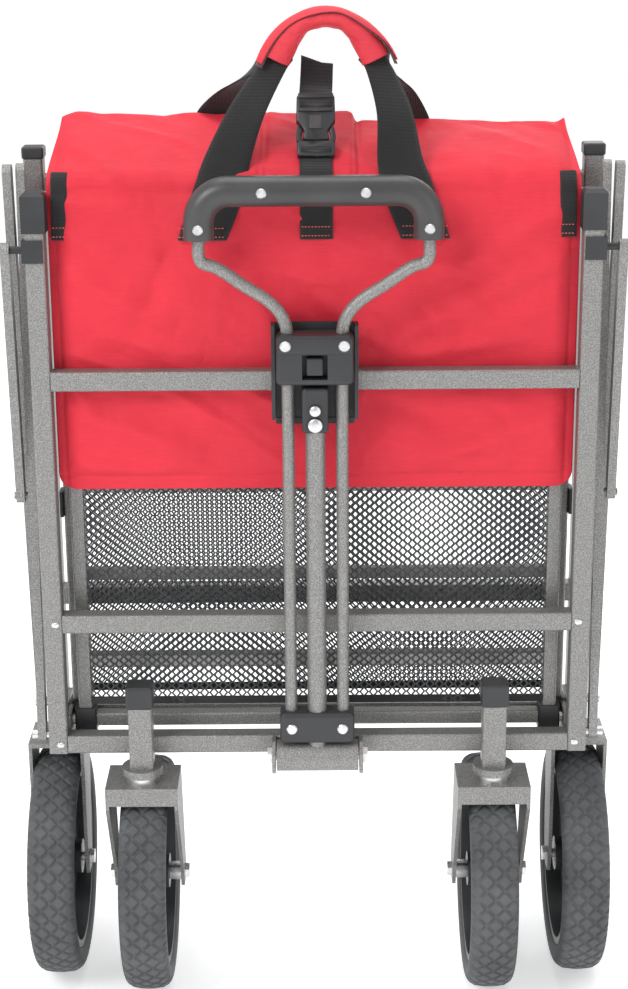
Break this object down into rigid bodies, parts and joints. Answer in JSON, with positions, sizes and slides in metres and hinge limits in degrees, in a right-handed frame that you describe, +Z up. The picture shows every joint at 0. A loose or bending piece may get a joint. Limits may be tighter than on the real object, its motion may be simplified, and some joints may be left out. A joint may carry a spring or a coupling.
{
  "type": "folding wagon with pull handle",
  "caption": "Folding pull wagon, folded upright: tube frames hinged by a two-panel floor, swivel front wheels, fixed rear wheels, telescoping pull handle, padded fabric wrap with carry grip.",
  "frame": {"origin": "on the ground under the middle of the bounding box, in the folded rest pose", "axes": "+Z up, +Y from the pull handle towards the back frame (the way the wagon unfolds), +X to the right seen from the pull handle side"},
  "size_m": [0.512, 0.231, 0.8405],
  "materials": {
    "frame_paint": "hammertone",
    "steel": "zinc plated",
    "black_plastic": "moulded",
    "rim_plastic": "moulded",
    "tyre": "matte",
    "red_fabric": "coated woven",
    "webbing": "woven webbing",
    "mesh": "open mesh"
  },
  "bodies": {
    "front_frame": {"front_post_left": "frame_paint", "front_post_right": "frame_paint", "front_caps": "black_plastic", "top_crossbar": "frame_paint", "upper_crossbar": "frame_paint", "lower_crossbar": "frame_paint", "bottom_crossbar": "frame_paint", "caster_stems": "frame_paint", "frame_lugs": "frame_paint", "handle_holder": "black_plastic", "front_bolts": "steel"},
    "mast": {"mast": "frame_paint", "mast_cap": "black_plastic"},
    "pull_handle": {"loop_tubes": "frame_paint", "grip_shell_front": "black_plastic", "grip_shell_rear": "black_plastic", "middle_block": "black_plastic", "lower_clamp": "black_plastic", "handle_rivets": "steel"},
    "latch_button": {"latch_button": "black_plastic"},
    "front_panel": {"front_panel_rails": "frame_paint", "front_panel_crossbars": "frame_paint", "front_panel_hinges": "black_plastic", "front_mesh": "mesh"},
    "rear_panel": {"rear_panel_rails": "frame_paint", "rear_panel_crossbars": "frame_paint", "rear_panel_hinges": "black_plastic", "rear_mesh": "mesh"},
    "rear_frame": {"rear_post_left": "frame_paint", "rear_post_right": "frame_paint", "rear_caps": "black_plastic", "rear_crossbars": "frame_paint", "rear_brackets": "frame_paint", "rear_bolts": "steel"},
    "front_long_links": {"front_long_links": "frame_paint"},
    "front_short_links": {"front_short_links": "frame_paint"},
    "front_sliders": {"front_sliders": "black_plastic"},
    "rear_long_links": {"rear_long_links": "frame_paint"},
    "rear_short_links": {"rear_short_links": "frame_paint"},
    "rear_sliders": {"rear_sliders": "black_plastic"},
    "caster_left": {"caster_fork_left": "frame_paint", "caster_hardware_left": "steel"},
    "caster_right": {"caster_fork_right": "frame_paint", "caster_hardware_right": "steel"},
    "caster_wheel_left": {"caster_tyre_left": "tyre", "caster_rim_left": "rim_plastic"},
    "caster_wheel_right": {"caster_tyre_right": "tyre", "caster_rim_right": "rim_plastic"},
    "rear_wheel_left": {"rear_tyre_left": "tyre", "rear_rim_left": "rim_plastic"},
    "rear_wheel_right": {"rear_tyre_right": "tyre", "rear_rim_right": "rim_plastic"},
    "mat": {"mat_front_flap": "red_fabric", "mat_top_flap": "red_fabric", "mat_webbing": "webbing", "buckle_plug": "black_plastic"},
    "buckle": {"buckle_socket": "black_plastic", "strap_tail": "webbing"},
    "carry_handle": {"carry_sleeve": "red_fabric", "carry_webbing": "webbing"}
  },
  "joints": [
    {"name": "unfold", "type": "hinge", "parent": "front_frame", "child": "front_panel", "pos_m": [0, -0.01, 0.246], "axis": [-1, 0, 0], "range_deg": [0, 86]},
    {"name": "mid_fold", "type": "hinge", "parent": "front_panel", "child": "rear_panel", "pos_m": [0, -0.001, 0.624], "axis": [-1, 0, 0], "range_deg": [-173, 0]},
    {"name": "rear_fold", "type": "hinge", "parent": "rear_panel", "child": "rear_frame", "pos_m": [0, 0.008, 0.246], "axis": [-1, 0, 0], "range_deg": [0, 87]},
    {"name": "front_link_pivot", "type": "hinge", "parent": "front_frame", "child": "front_long_links", "pos_m": [0, -0.036, 0.243], "axis": [-1, 0, 0], "range_deg": [0, 62.2]},
    {"name": "front_link_cross", "type": "hinge", "parent": "front_long_links", "child": "front_short_links", "pos_m": [0, -0.01942, 0.45084], "axis": [-1, 0, 0], "range_deg": [-124.4, 0]},
    {"name": "front_slider_pivot", "type": "hinge", "parent": "front_short_links", "child": "front_sliders", "pos_m": [0, -0.036, 0.65868], "axis": [-1, 0, 0], "range_deg": [0, 62.2]},
    {"name": "rear_link_pivot", "type": "hinge", "parent": "rear_frame", "child": "rear_long_links", "pos_m": [0, 0.034, 0.243], "axis": [-1, 0, 0], "range_deg": [-62.2, 0]},
    {"name": "rear_link_cross", "type": "hinge", "parent": "rear_long_links", "child": "rear_short_links", "pos_m": [0, 0.01741, 0.45084], "axis": [-1, 0, 0], "range_deg": [0, 124.4]},
    {"name": "rear_slider_pivot", "type": "hinge", "parent": "rear_short_links", "child": "rear_sliders", "pos_m": [0, 0.034, 0.65868], "axis": [-1, 0, 0], "range_deg": [-62.2, 0]},
    {"name": "handle_pivot", "type": "hinge", "parent": "front_frame", "child": "mast", "pos_m": [0, -0.062, 0.234], "axis": [1, 0, 0], "range_deg": [0, 80]},
    {"name": "handle_extend", "type": "slide", "parent": "mast", "child": "pull_handle", "axis": [0, 0, 1], "range_m": [0, 0.238]},
    {"name": "latch_press", "type": "slide", "parent": "pull_handle", "child": "latch_button", "axis": [0, 1, 0], "range_m": [0, 0.003], "stiffness_N_per_m": 300},
    {"name": "caster_swivel_left", "type": "hinge", "parent": "front_frame", "child": "caster_left", "pos_m": [-0.148, -0.054, 0.215], "axis": [0, 0, 1], "range_deg": [-215, 10]},
    {"name": "caster_swivel_right", "type": "hinge", "parent": "front_frame", "child": "caster_right", "pos_m": [0.148, -0.054, 0.215], "axis": [0, 0, 1], "range_deg": [-10, 215]},
    {"name": "caster_spin_left", "type": "hinge", "parent": "caster_left", "child": "caster_wheel_left", "pos_m": [-0.148, -0.014, 0.1015], "axis": [1, 0, 0], "continuous": true},
    {"name": "caster_spin_right", "type": "hinge", "parent": "caster_right", "child": "caster_wheel_right", "pos_m": [0.148, -0.014, 0.1015], "axis": [1, 0, 0], "continuous": true},
    {"name": "rear_spin_left", "type": "hinge", "parent": "rear_frame", "child": "rear_wheel_left", "pos_m": [-0.228, 0.014, 0.1015], "axis": [1, 0, 0], "continuous": true},
    {"name": "rear_spin_right", "type": "hinge", "parent": "rear_frame", "child": "rear_wheel_right", "pos_m": [0.228, 0.014, 0.1015], "axis": [1, 0, 0], "continuous": true},
    {"name": "mat_lift", "type": "slide", "parent": "front_frame", "child": "mat", "axis": [0, 0, 1], "range_m": [0, 0.3]},
    {"name": "buckle_release", "type": "slide", "parent": "mat", "child": "buckle", "axis": [0, 0.454, 0.891], "range_m": [0, 0.014]},
    {"name": "carry_swing", "type": "hinge", "parent": "mat", "child": "carry_handle", "pos_m": [0, -0.026, 0.717], "axis": [1, 0, 0], "range_deg": [-25, 20], "deforming": ["carry_webbing"]}
  ],
  "couplings": [
    {"joint": "mid_fold", "follows": "unfold", "ratio": -2},
    {"joint": "rear_fold", "follows": "unfold", "ratio": 1},
    {"joint": "front_link_pivot", "follows": "unfold", "ratio": 0.721},
    {"joint": "front_link_cross", "follows": "unfold", "ratio": -1.442},
    {"joint": "front_slider_pivot", "follows": "unfold", "ratio": 0.721},
    {"joint": "rear_link_pivot", "follows": "unfold", "ratio": -0.721},
    {"joint": "rear_link_cross", "follows": "unfold", "ratio": 1.442},
    {"joint": "rear_slider_pivot", "follows": "unfold", "ratio": -0.721}
  ]
}
